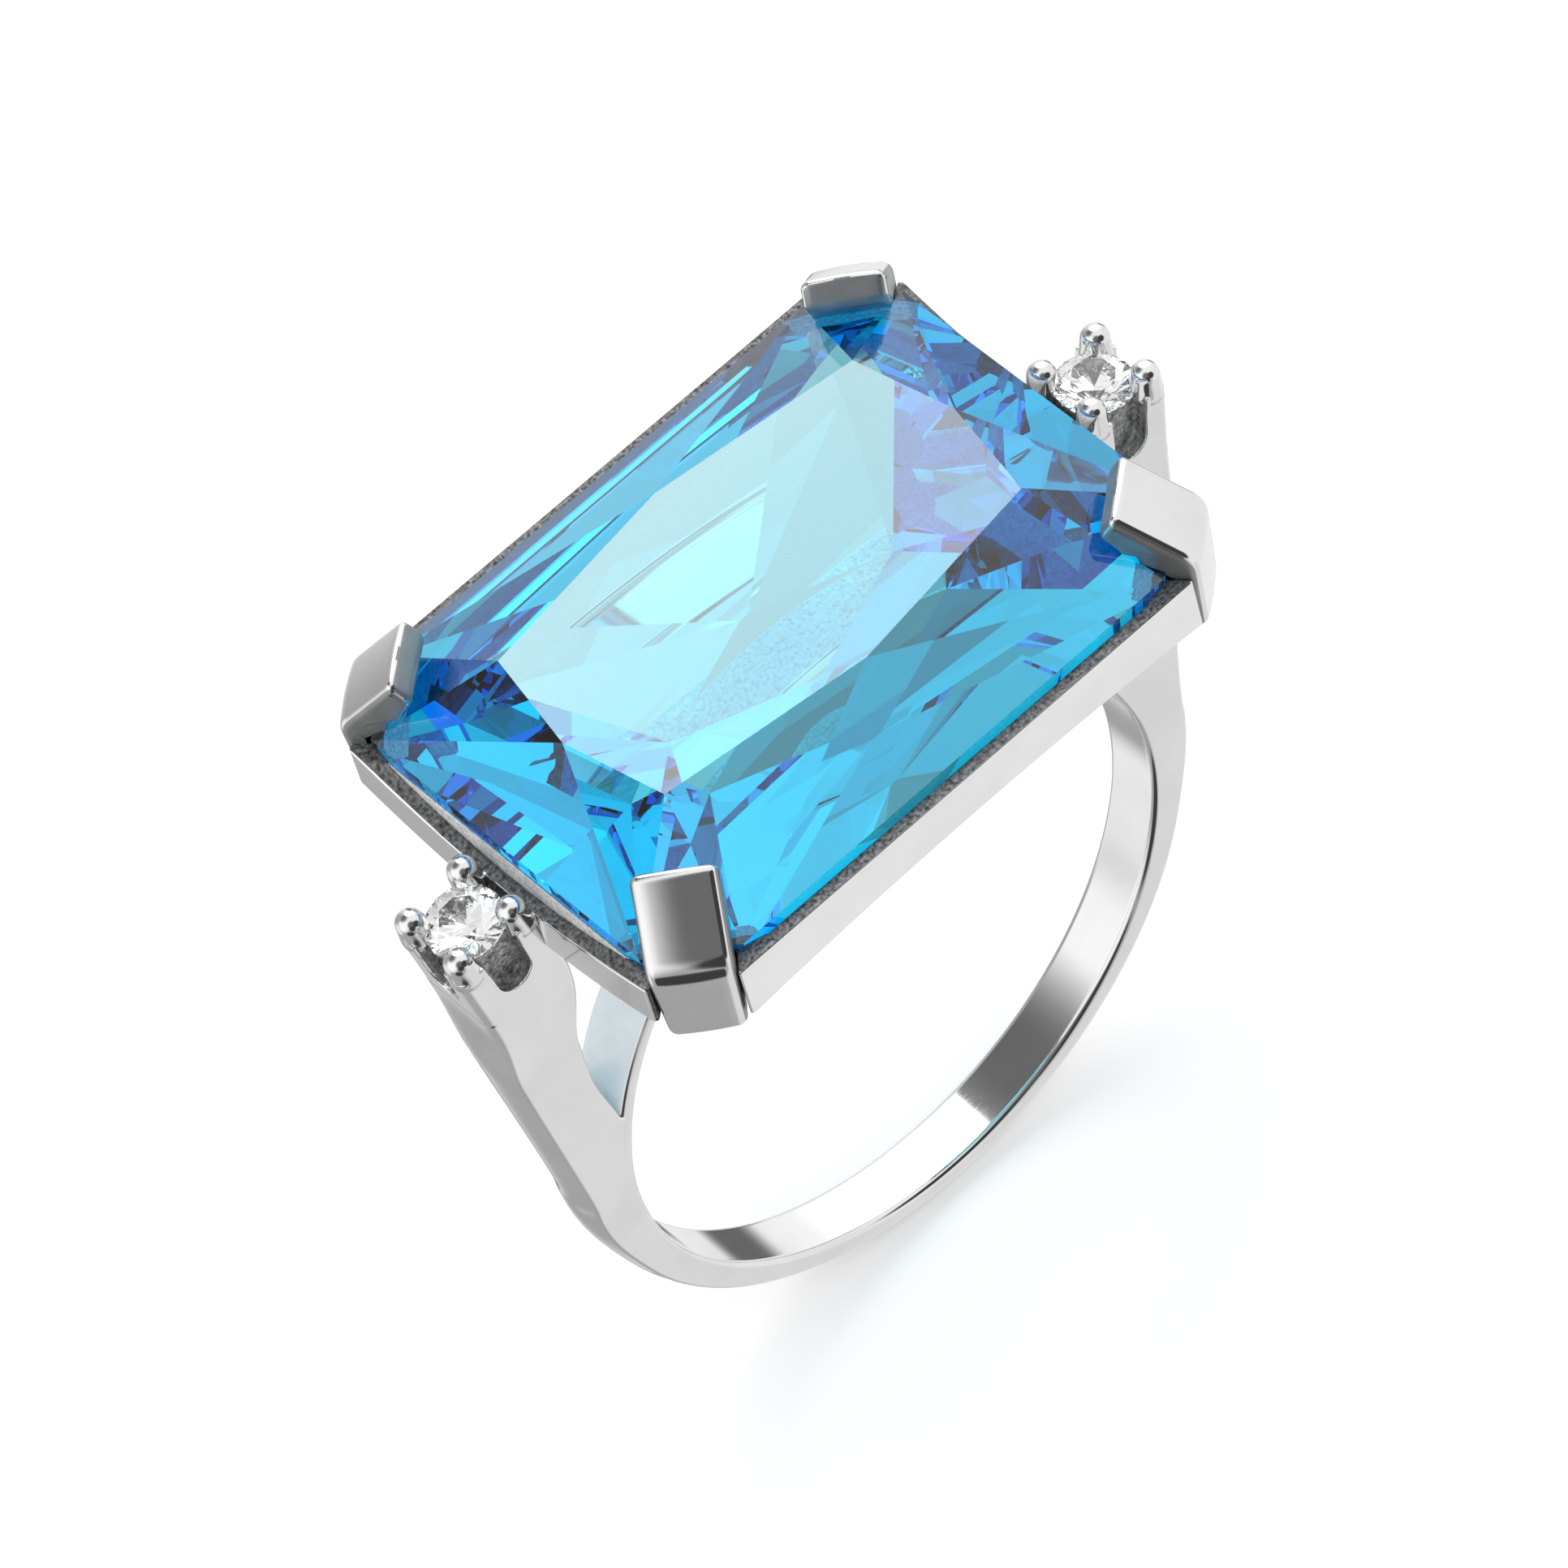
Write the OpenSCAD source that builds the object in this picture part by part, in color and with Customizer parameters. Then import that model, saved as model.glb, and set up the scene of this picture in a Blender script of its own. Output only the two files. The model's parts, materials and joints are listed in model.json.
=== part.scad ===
// Cocktail ring: a long cut-corner stone in a four-claw gallery, with a small
// round stone on each forked shoulder.
// Origin: centre of the finger bore. +Y runs along the finger, +Z points up
// through the table of the main stone, +X runs along its long side.

/* [Finger hoop] */
// Inside diameter of the hoop, the ring size
bore_d = 17.3; // [16.5:0.1:18]
// Width of the hoop along the finger
band_w = 1.7; // [1.5:0.1:2.2]
// Radial thickness of the hoop at its lowest point
band_t = 0.6; // [0.5:0.05:0.9]
// Radial thickness of the inner arms that close the bore under the gallery
inner_arm_t = 0.5; // [0.4:0.05:0.6]

/* [Main stone] */
// Length of the main stone at its girdle
stone_l = 17.4; // [16.8:0.1:18]
// Width of the main stone at its girdle
stone_w = 12.8; // [12.4:0.1:13.2]
// Height of the crown above the girdle
crown_h = 1.75; // [1.4:0.05:2]
// Thickness of the polished girdle
girdle_t = 0.4; // [0.3:0.05:0.5]
// Depth of the pavilion below the girdle
pavilion_h = 4.3; // [3.6:0.1:4.3]
// Height of the lower girdle edge above the top of the bore
stone_lift = 5; // [4.95:0.05:5.3]

/* [Gallery and claws] */
// Thickness of the polished gallery wall
wall_t = 0.36; // [0.3:0.02:0.45]
// Height of the long gallery walls at mid length
wall_h = 1.4; // [1.2:0.1:1.6]
// Width of each corner claw
claw_w = 2.1; // [1.7:0.05:2.2]
// Thickness of each corner claw at its tip
claw_t = 0.8; // [0.7:0.05:0.9]

/* [Accent stones] */
// Diameter of each round accent stone
accent_d = 2.1; // [1.9:0.05:2.2]
// Outward lean of each accent head, in degrees
accent_lean = 9; // [5:1:12]

/* [Hidden] */
eps = 0.01;

bore_r = bore_d / 2;
inner_arm_r = bore_r + inner_arm_t;

// The outside of the hoop is a circle whose centre sits above the bore centre,
// so the band thickens toward the shoulders.
hoop_rise = 0.55;
hoop_r = bore_r + band_t + hoop_rise;
hoop_bulge = 0.15;
split_z = 1;

// Stone outline: half length, half width and the distance of the cut corners,
// measured from the axis along the corner direction.
corner_angle = 50.8;
corner_dir = [cos(corner_angle), sin(corner_angle)];
half_l = stone_l / 2;
half_w = stone_w / 2;
corner_cut = 1.2;
girdle_z = bore_r + stone_lift;
stone_corner = half_l * corner_dir[0] + half_w * corner_dir[1] - corner_cut;
girdle_top = girdle_z + girdle_t;
table_z = girdle_top + crown_h;
culet_z = girdle_z - pavilion_h;

// Table outline: corners and the outward points at the middle of each side.
table_x = 0.663 * half_l;
table_y = 0.466 * half_w;
table_mid_x = 0.730 * half_l;
table_mid_y = 0.586 * half_w;

// Gallery outline.
stone_gap = 0.04;
wall_x = half_l + stone_gap + wall_t;
wall_y = half_w + stone_gap + wall_t;
wall_top = girdle_z + 0.13;
wall_bottom = wall_top - wall_h;
long_arch = 0.45;
short_sag = 0.9;
short_h = 1.3;
long_zone = 2.4;
corner_inner = stone_corner - 0.4;
corner_outer = stone_corner + 0.62;
seat_w = 0.75;
seat_h = 1;
seat_bottom = wall_top - seat_h;

// Claw profile, in distance from the axis along the corner direction and height.
claw_foot_z = wall_bottom - long_arch - 0.25;
claw_foot = [stone_corner + 0.66, claw_foot_z];
claw_bend = [stone_corner + 0.8, girdle_top + 0.25];
claw_tip = [stone_corner - 1, girdle_top + 1.95];
bend_r = 0.45;
// The claw's end face leans in by this angle from the vertical.
claw_end_lean = 28;
// How far behind its lower edge the claw comes to rest on the stone.
claw_overhang = 0.45;
// Where the claw stands across the corner direction, near the line to the
// corner the stone would have if it were not cut.
claw_w_pos = half_w * corner_dir[0] - half_l * corner_dir[1] + 0.2;

// Outer arms, in side view: where the fork opens, and where the outer and inner
// edges bend, as heights and as distances from the middle of the accent head.
fork_z = 3.5;
arm_outer_bend_z = 7.1;
arm_outer_low = 0.37;
arm_outer_top = 1.0;
arm_inner_low_z = 6.4;
arm_inner_bend_z = 9.2;
arm_inner_low = 0.95;
arm_inner_mid = 1.25;
arm_inner_top = 1.5;
arm_top_drop = 1;
// Height up to which the arms stay about as wide as the band.
arm_waist_z = 6;
arm_waist_flare = 0.1;

// Accent heads: a short square post leaning outward, four prongs at its corners.
head_x = wall_x + 1.2;
head_z = girdle_z - 0.9;
head_half = 1.27;
head_h = 2.3;
head_top = -0.02;
accent_r = accent_d / 2;
prong_off = 0.91;
prong_r = 0.36;
bead_r = 0.39;
// Notches in the sides of the post, between the prongs: half width, height of
// their round foot, and how far from the axis they end.
notch_r = 0.5;
notch_z = -1.15;
notch_end = 0.82;
// Height of the bead centres above the accent girdle.
bead_z = 0.4;
cup_floor = 0.3;
accent_depth = 0.9 * accent_r;
accent_girdle_t = 0.08;
accent_crown_h = 0.3;
accent_table_r = 0.55 * accent_r;

// A rectangle with its corners cut square to the corner direction at distance c.
function cut_x(hx, hy, c) = (c - hy * corner_dir[1]) / corner_dir[0];
function cut_y(hx, hy, c) = (c - hx * corner_dir[0]) / corner_dir[1];
function cut_rectangle(hx, hy, c) = let (x = cut_x(hx, hy, c), y = cut_y(hx, hy, c)) [
    [hx, -y], [hx, y], [x, hy], [-x, hy],
    [-hx, y], [-hx, -y], [-x, -hy], [x, -hy]
];

function arc(cx, cy, r, a0, a1, n) = [
    for (i = [0 : n]) [cx + r * cos(a0 + (a1 - a0) * i / n), cy + r * sin(a0 + (a1 - a0) * i / n)]
];

// Turns a drawing made in plan, x and z, into a solid w wide along the finger.
module across_finger(w) {
    rotate([90, 0, 0])
        translate([0, 0, -w / 2])
            linear_extrude(w) children();
}

module full_cylinder(r, w) {
    rotate([90, 0, 0])
        cylinder(r = r, h = w, center = true, $fn = 180);
}

// ---------------------------------------------------------------- hoop

// Half of the hoop section: flat sides and a slightly rounded outside.
module hoop_section() {
    round_r = (band_w * band_w / 4 + hoop_bulge * hoop_bulge) / (2 * hoop_bulge);
    intersection() {
        translate([bore_r - 1, -band_w / 2])
            square([hoop_r + hoop_bulge - bore_r + 2, band_w]);
        translate([hoop_r + hoop_bulge - round_r, 0])
            circle(r = round_r, $fn = 120);
        translate([bore_r - 1, -5])
            square([10, 10]);
    }
}

module shank() {
    color("silver")
    difference() {
        union() {
            intersection() {
                translate([0, 0, hoop_rise])
                    rotate([90, 0, 0])
                        rotate_extrude($fn = 180) hoop_section();
                translate([-20, -5, -20])
                    cube([40, 10, 20 + split_z]);
            }
            full_cylinder(inner_arm_r, band_w);
        }
        full_cylinder(bore_r, band_w + 1);
    }
}

// ---------------------------------------------------------------- shoulders

// Everything below the foot of the right-hand accent head.
module below_head() {
    translate([head_x, 0, head_z])
        rotate([0, accent_lean, 0])
            translate([-10, -10, -head_h - 30])
                cube([20, 20, 30]);
}

// The block the gallery fills above the lowest point of its short walls.
module gallery_space() {
    translate([0, -10, wall_top - short_sag - short_h])
        cube([wall_x, 20, 10]);
}

// Side view of the right-hand outer arm, from the fork to the accent head.
module arm_side() {
    fork_x = sqrt(inner_arm_r * inner_arm_r - fork_z * fork_z);
    start_x = sqrt(hoop_r * hoop_r - (split_z - hoop_rise) * (split_z - hoop_rise)) + hoop_bulge / 2;
    polygon([
        [bore_r - 1, split_z],
        [start_x, split_z],
        [head_x + arm_outer_low, arm_outer_bend_z],
        [head_x + arm_outer_top, head_z - arm_top_drop],
        [head_x - arm_inner_top, head_z - arm_top_drop],
        [head_x - arm_inner_mid, arm_inner_bend_z],
        [head_x - arm_inner_low, arm_inner_low_z],
        [fork_x, fork_z],
        [bore_r - 1, fork_z]
    ]);
}

// End view of both arms: a narrow root that widens up to the accent head.
module arm_end() {
    waist = band_w / 2 + arm_waist_flare;
    polygon([
        [-band_w / 2, 0], [band_w / 2, 0],
        [waist, arm_waist_z], [head_half, head_z - head_h], [head_half, head_z],
        [-head_half, head_z], [-head_half, head_z - head_h], [-waist, arm_waist_z]
    ]);
}

module shoulder_right() {
    color("silver")
    difference() {
        intersection() {
            across_finger(4) arm_side();
            rotate([90, 0, 90])
                linear_extrude(20) arm_end();
            below_head();
        }
        full_cylinder(inner_arm_r, 5);
        gallery_space();
    }
}

module shoulder_left() {
    mirror([1, 0, 0]) shoulder_right();
}

// ---------------------------------------------------------------- gallery

module plan_ring(outer, inner, h) {
    difference() {
        linear_extrude(h) polygon(outer);
        translate([0, 0, -1])
            linear_extrude(h + 2) polygon(inner);
    }
}

// The long walls are arched along their lower edge.
module long_arches() {
    r = wall_x * wall_x / (2 * long_arch) + long_arch / 2;
    across_finger(30)
        translate([0, wall_bottom - r])
            circle(r = r, $fn = 360);
}

// The short walls sag toward the accent heads between two arcs.
module short_side_band() {
    reach = wall_y - 1;
    r = reach * reach / (2 * short_sag) + short_sag / 2;
    top = wall_top - short_sag;
    rotate([90, 0, 90])
        translate([0, 0, -15])
            linear_extrude(30)
                difference() {
                    translate([0, top - short_h + r])
                        circle(r = r, $fn = 360);
                    translate([0, top + r])
                        circle(r = r, $fn = 360);
                }
}

module gallery_blank() {
    translate([0, 0, wall_top - 4])
        plan_ring(
            cut_rectangle(wall_x, wall_y, corner_outer),
            cut_rectangle(wall_x - wall_t, wall_y - wall_t, corner_inner),
            4
        );
}

// Clears the stone's own girdle where the cut corners reach over the wall.
module girdle_space() {
    translate([0, 0, girdle_z])
        linear_extrude(2)
            polygon(cut_rectangle(half_l + stone_gap / 2, half_w + stone_gap / 2, stone_corner + stone_gap / 2));
}

// The long walls and the wall corners they run into.
module long_side_zone() {
    for (side = [-1, 1])
        translate([-15, side * wall_y - long_zone / 2, 0])
            cube([30, long_zone, 30]);
}

module gallery_wall() {
    color("silver")
    difference() {
        union() {
            difference() {
                intersection() {
                    gallery_blank();
                    long_side_zone();
                }
                long_arches();
            }
            intersection() {
                gallery_blank();
                short_side_band();
            }
        }
        girdle_space();
        claw_slots();
    }
}

module stone_seat() {
    outer = cut_rectangle(half_l + stone_gap, half_w + stone_gap, corner_inner);
    inner = cut_rectangle(half_l - seat_w, half_w - seat_w, corner_inner - seat_w);
    color("silver")
    difference() {
        translate([0, 0, seat_bottom])
            plan_ring(outer, inner, girdle_z - seat_bottom - eps);
        pavilion();
    }
}

// ---------------------------------------------------------------- claws

// Height of the crown's corner facet at distance d from the axis.
table_corner_d = table_x * corner_dir[0] + table_y * corner_dir[1];
crown_slope = crown_h / (stone_corner - table_corner_d);
function crown_height(d) = girdle_top + (stone_corner - d) * crown_slope;

module claw_profile() {
    slope = atan2(claw_tip[1] - claw_bend[1], claw_bend[0] - claw_tip[0]);
    tip_low = claw_tip - claw_t * [sin(claw_end_lean), cos(claw_end_lean)];
    lean = atan2(claw_bend[0] - claw_foot[0], claw_bend[1] - claw_foot[1]);
    // The bend is a round of radius bend_r that touches both outer faces.
    bend_back = bend_r * tan((90 - slope + lean) / 2);
    bend_c = [
        claw_bend[0] - bend_back * sin(lean) - bend_r * cos(lean),
        claw_bend[1] - bend_back * cos(lean) + bend_r * sin(lean)
    ];
    rest_d = tip_low[0] + claw_overhang;
    polygon(concat(
        [claw_foot],
        arc(bend_c[0], bend_c[1], bend_r, -lean, 90 - slope, 10),
        [
            claw_tip,
            tip_low,
            [rest_d, crown_height(rest_d)],
            [stone_corner, girdle_top],
            [stone_corner, claw_foot_z]
        ]
    ));
}

// Places children at one corner; x then runs outward along the corner direction.
module at_corner(side_x, side_y) {
    scale([side_x, side_y, 1])
        rotate([0, 0, corner_angle])
            translate([0, claw_w_pos, 0])
                children();
}

// The notches the claws stand in, cut into the gallery's corners.
module claw_slots() {
    for (side_x = [-1, 1])
        for (side_y = [-1, 1])
            at_corner(side_x, side_y)
                translate([stone_corner, -claw_w / 2, 0])
                    cube([3, claw_w, 30]);
}

module claw(side_x, side_y) {
    color("silver")
    at_corner(side_x, side_y)
        across_finger(claw_w) claw_profile();
}

module claw_front_left() { claw(-1, -1); }
module claw_front_right() { claw(1, -1); }
module claw_rear_left() { claw(-1, 1); }
module claw_rear_right() { claw(1, 1); }

// ---------------------------------------------------------------- main stone

module slice(z, outline) {
    translate([0, 0, z])
        linear_extrude(eps) polygon(outline);
}

function table_outline() = [
    [table_x, -table_y], [table_mid_x, 0], [table_x, table_y], [0, table_mid_y],
    [-table_x, table_y], [-table_mid_x, 0], [-table_x, -table_y], [0, -table_mid_y]
];

function girdle_outline() = cut_rectangle(half_l, half_w, stone_corner);

// The steep sides of the pavilion end on a plain rectangle, and close from
// there to a long, narrow, flat keel.
break_x = 0.65 * half_l;
break_y = 0.58 * half_w;
break_depth = 0.49 * pavilion_h;
keel_x = 0.42 * half_l;
waist_x = 0.13;
waist_y = 0.21 * half_w;

module pavilion() {
    hull() {
        slice(girdle_z - eps, girdle_outline());
        slice(girdle_z - break_depth, [
            [break_x, break_y], [-break_x, break_y], [-break_x, -break_y], [break_x, -break_y]
        ]);
        slice(culet_z, [
            [keel_x, 0], [waist_x, waist_y], [-waist_x, waist_y],
            [-keel_x, 0], [-waist_x, -waist_y], [waist_x, -waist_y]
        ]);
    }
}

module main_stone() {
    color("deepskyblue") {
        hull() {
            slice(table_z - eps, table_outline());
            slice(girdle_top - eps, girdle_outline());
        }
        translate([0, 0, girdle_z - eps])
            linear_extrude(girdle_t + eps) polygon(girdle_outline());
        pavilion();
    }
}

// ---------------------------------------------------------------- accent heads

// Places children in the leaning frame of one head; side is 1 right, -1 left.
module at_head(side) {
    scale([side, 1, 1])
        translate([head_x, 0, head_z])
            rotate([0, accent_lean, 0])
                children();
}

module accent_cup_left() { accent_cup(-1); }
module accent_cup_right() { accent_cup(1); }

module accent_cup(side) {
    color("silver")
    difference() {
        at_head(side) cup_body();
        scale([side, 1, 1]) gallery_space();
    }
}

module cup_notches() {
    for (turn = [0 : 90 : 270])
        rotate([0, 0, turn])
            hull()
                for (z = [notch_z, 1])
                    translate([0, notch_end, z])
                        rotate([-90, 0, 0])
                            cylinder(r = notch_r, h = 2, $fn = 48);
}

module cup_body() {
    difference() {
        translate([-head_half, -head_half, -head_h])
            cube([2 * head_half, 2 * head_half, head_h + head_top]);
        translate([0, 0, -head_h + cup_floor])
            cylinder(r = accent_table_r, h = head_h, $fn = 48);
        translate([0, 0, -accent_depth - eps])
            cylinder(r1 = 2 * eps, r2 = accent_r + eps, h = accent_depth + 2 * eps, $fn = 48);
        cup_notches();
    }
}

module prong(side, corner) {
    color("silver")
    at_head(side)
        difference() {
            rotate([0, 0, 45 + 90 * corner])
                translate([prong_off * sqrt(2), 0, 0]) {
                    translate([0, 0, head_top])
                        cylinder(r = prong_r, h = bead_z - head_top, $fn = 32);
                    translate([-0.04, 0, bead_z])
                        sphere(r = bead_r, $fn = 32);
                }
            accent_envelope();
        }
}

module prong_left_1() { prong(-1, 0); }
module prong_left_2() { prong(-1, 1); }
module prong_left_3() { prong(-1, 2); }
module prong_left_4() { prong(-1, 3); }
module prong_right_1() { prong(1, 0); }
module prong_right_2() { prong(1, 1); }
module prong_right_3() { prong(1, 2); }
module prong_right_4() { prong(1, 3); }

// ---------------------------------------------------------------- accent stones

// Round body that holds the whole cut stone.
module accent_envelope() {
    translate([0, 0, -accent_depth])
        cylinder(r1 = 2 * eps, r2 = accent_r, h = accent_depth, $fn = 48);
    cylinder(r = accent_r, h = accent_girdle_t, $fn = 48);
    translate([0, 0, accent_girdle_t])
        cylinder(r1 = accent_r, r2 = accent_table_r, h = accent_crown_h, $fn = 48);
}

module accent_stone(side) {
    // The eight main facets cut the round outline a little outside its girdle.
    facet_r = accent_r * 1.1;
    color("white")
    at_head(side)
        intersection() {
            accent_envelope();
            union() {
                translate([0, 0, -accent_r])
                    cylinder(r1 = 2 * eps, r2 = facet_r, h = accent_r, $fn = 8);
                cylinder(r1 = facet_r, r2 = accent_table_r, h = accent_girdle_t + accent_crown_h, $fn = 8);
            }
        }
}

module accent_stone_left() { accent_stone(-1); }
module accent_stone_right() { accent_stone(1); }

shank();
shoulder_left();
shoulder_right();
gallery_wall();
stone_seat();
claw_front_left();
claw_front_right();
claw_rear_left();
claw_rear_right();
accent_cup_left();
accent_cup_right();
prong_left_1();
prong_left_2();
prong_left_3();
prong_left_4();
prong_right_1();
prong_right_2();
prong_right_3();
prong_right_4();
main_stone();
accent_stone_left();
accent_stone_right();
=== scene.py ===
"""Cocktail ring: a cut-corner blue stone in a four-claw gallery, on a forked hoop with two accent stones.

Pieces are drawn in millimetres in the CAD frame and turned into metres when they are finished.
"""

import json
import math

import bmesh
import bpy
import numpy as np
from mathutils import Matrix, Vector


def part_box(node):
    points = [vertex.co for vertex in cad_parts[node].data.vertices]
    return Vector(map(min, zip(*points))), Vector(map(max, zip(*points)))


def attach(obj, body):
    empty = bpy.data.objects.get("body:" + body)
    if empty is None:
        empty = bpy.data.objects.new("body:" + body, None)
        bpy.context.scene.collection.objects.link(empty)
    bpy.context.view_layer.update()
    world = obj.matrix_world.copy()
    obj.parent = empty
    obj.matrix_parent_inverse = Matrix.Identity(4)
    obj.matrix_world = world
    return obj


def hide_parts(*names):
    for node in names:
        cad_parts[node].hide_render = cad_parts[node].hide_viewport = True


MM = 0.001
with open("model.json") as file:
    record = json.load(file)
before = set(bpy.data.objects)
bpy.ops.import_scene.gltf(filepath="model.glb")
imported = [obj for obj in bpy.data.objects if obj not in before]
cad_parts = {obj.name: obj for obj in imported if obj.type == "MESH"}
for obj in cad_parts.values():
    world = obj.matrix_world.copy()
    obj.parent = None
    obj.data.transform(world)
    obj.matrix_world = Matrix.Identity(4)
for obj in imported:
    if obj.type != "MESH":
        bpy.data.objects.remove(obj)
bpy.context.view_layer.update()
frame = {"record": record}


def box_mm(node):
    """Lowest and highest corner of a CAD node, in millimetres."""
    low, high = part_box(node)
    return np.array(low) / MM, np.array(high) / MM


# ---------------------------------------------------------------- sizes, from the frame

SHANK_LOW, SHANK_HIGH = box_mm("shank")
STONE_LOW, STONE_HIGH = box_mm("main_stone")

BORE_R = frame["record"]["mounts"][0]["dims"]["r_mm"]
BAND_HALF = SHANK_HIGH[1]
INNER_ARM_R = SHANK_HIGH[2]

# The hoop's outside is a circle round a point HOOP_RISE above the bore's centre.
HOOP_BULGE = 0.15
HOOP_R = SHANK_HIGH[0] - HOOP_BULGE
HOOP_RISE = SHANK_HIGH[0] + SHANK_LOW[2]
# The outer arms leave that circle at SPLIT_Z, and the gap between outer and inner arm opens at FORK_Z.
SPLIT_Z = HOOP_RISE
FORK_Z = 3.2
ARM_SWELL = 0.23
ARM_SLOPE = 0.14
# How far an outer arm stands proud of the hoop where the two run together.
ARM_PROUD = 0.005
BLOCK_EDGE = 0.16
BLOCK_SIDE_BULGE = 0.02

HALF_L, HALF_W = STONE_HIGH[0], STONE_HIGH[1]
TABLE_Z = STONE_HIGH[2]
CULET_Z = STONE_LOW[2]
GIRDLE_T = 0.4
CROWN_H = 1.75
GIRDLE_TOP = TABLE_Z - CROWN_H
GIRDLE_Z = GIRDLE_TOP - GIRDLE_T
PAVILION_H = GIRDLE_Z - CULET_Z
CORNER_ANGLE = math.radians(50.8)
CORNER_DIR = np.array([math.cos(CORNER_ANGLE), math.sin(CORNER_ANGLE)])
CORNER_CUT = 1.2
STONE_CORNER = HALF_L * CORNER_DIR[0] + HALF_W * CORNER_DIR[1] - CORNER_CUT

WALL_X, WALL_Y, WALL_TOP = box_mm("gallery_wall")[1]

# The accent heads: a square post, HEAD_H deep, round a stone of radius ACCENT_R.
HEAD_X = WALL_X + 1.2
HEAD_Z = GIRDLE_Z - 0.9
HEAD_LEAN = math.radians(9)
HEAD_HALF = 1.27
HEAD_H = 2.3
ACCENT_R = 1.03
CUP_TOP = -0.02
PRONG_REACH = 1.24


# ---------------------------------------------------------------- mesh helpers


def mesh_object(name, points, faces):
    """A new object, in millimetres, from corner points and faces."""
    mesh = bpy.data.meshes.new(name)
    mesh.from_pydata([tuple(p) for p in points], [], [tuple(f) for f in faces])
    mesh.validate()
    made = bpy.data.objects.new(name, mesh)
    bpy.context.scene.collection.objects.link(made)
    return made


def loft(name, rings, closed=False):
    """Joins rings of equally many points with quads; an open loft gets a cap at each end."""
    count = len(rings[0])
    points = [p for ring in rings for p in ring]
    steps = len(rings) if closed else len(rings) - 1
    faces = []
    for i in range(steps):
        a, b = i * count, (i + 1) % len(rings) * count
        faces += [(a + j, a + (j + 1) % count, b + (j + 1) % count, b + j) for j in range(count)]
    if not closed:
        faces.append(tuple(reversed(range(count))))
        faces.append(tuple(range(len(points) - count, len(points))))
    made = mesh_object(name, points, faces)
    outward(made)
    return made


def crisp_ends(made, count):
    """Marks the rim of a loft's two end caps as sharp, so that they don't shade the sides."""
    last = len(made.data.vertices) - count
    for edge in made.data.edges:
        edge.use_edge_sharp = max(edge.vertices) < count or min(edge.vertices) >= last


def outward(made):
    """Turns every face outward."""
    work = bmesh.new()
    work.from_mesh(made.data)
    bmesh.ops.recalc_face_normals(work, faces=work.faces)
    work.to_mesh(made.data)
    work.free()


def bevel(made, width, segments=3, angle=30):
    """Rounds the edges where faces meet at more than the angle."""
    mod = made.modifiers.new("bevel", "BEVEL")
    mod.width = width
    mod.segments = segments
    mod.limit_method = "ANGLE"
    mod.angle_limit = math.radians(angle)
    mod.miter_outer = "MITER_ARC"
    mod.use_clamp_overlap = True


def even_normals(made):
    """Keeps flat faces flat beside rounded edges."""
    mod = made.modifiers.new("normals", "WEIGHTED_NORMAL")
    mod.mode = "FACE_AREA"
    mod.keep_sharp = True


def bake_shape(made):
    """Applies the modifiers."""
    graph = bpy.context.evaluated_depsgraph_get()
    mesh = bpy.data.meshes.new_from_object(made.evaluated_get(graph), depsgraph=graph)
    made.modifiers.clear()
    made.data = mesh


def shade(made, smooth=True):
    """Shades every face smooth or flat."""
    for face in made.data.polygons:
        face.use_smooth = smooth


def paint_faces(made, pick):
    """Gives each face the material number that pick returns for it."""
    for face in made.data.polygons:
        face.material_index = pick(face)


def smooth_step(share):
    """Eases a share, held between 0 and 1."""
    share = np.clip(share, 0, 1)
    return share * share * (3 - 2 * share)


def finish_piece(made, node, materials):
    """Turns a piece into metres, gives it its materials, and puts it in its node's place."""
    bake_shape(made)
    made.data.transform(Matrix.Scale(MM, 4))
    for material in materials:
        made.data.materials.append(material)
    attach(made, "root")
    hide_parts(node)
    return made


def smooth_curve(xs, ys, x):
    """A smooth curve through the points (xs, ys), read at x."""
    xs, ys = np.array(xs, float), np.array(ys, float)
    slope = np.gradient(ys, xs)
    i = np.clip(np.searchsorted(xs, x) - 1, 0, len(xs) - 2)
    step = xs[i + 1] - xs[i]
    t = np.clip((x - xs[i]) / step, 0, 1)
    return (
        (1 + 2 * t) * (1 - t) ** 2 * ys[i]
        + t * (1 - t) ** 2 * step * slope[i]
        + t * t * (3 - 2 * t) * ys[i + 1]
        + t * t * (t - 1) * step * slope[i + 1]
    )


def mirrored(points, side):
    """Mirrors points in x where side is -1."""
    return [(side * p[0], p[1], p[2]) for p in points]


# ---------------------------------------------------------------- materials


def new_material(name):
    """A new material with its node tree and its shader."""
    material = bpy.data.materials.new(name)
    material.use_nodes = True
    shader = material.node_tree.nodes["Principled BSDF"]
    return material, material.node_tree, shader


def noise(tree, scale, detail=3.0, stretch=(1, 1, 1)):
    """Noise over the object's own space."""
    place = tree.nodes.new("ShaderNodeTexCoord")
    turn = tree.nodes.new("ShaderNodeMapping")
    turn.inputs["Scale"].default_value = stretch
    texture = tree.nodes.new("ShaderNodeTexNoise")
    texture.inputs["Scale"].default_value = scale
    texture.inputs["Detail"].default_value = detail
    tree.links.new(place.outputs["Object"], turn.inputs["Vector"])
    tree.links.new(turn.outputs["Vector"], texture.inputs["Vector"])
    return texture.outputs["Fac"]


def ramp(tree, value, low, high, start=0.3, end=0.7):
    """Maps a value between start and end onto low to high."""
    node = tree.nodes.new("ShaderNodeMapRange")
    node.inputs["From Min"].default_value = start
    node.inputs["From Max"].default_value = end
    node.inputs["To Min"].default_value = low
    node.inputs["To Max"].default_value = high
    tree.links.new(value, node.inputs["Value"])
    return node.outputs["Result"]


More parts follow.
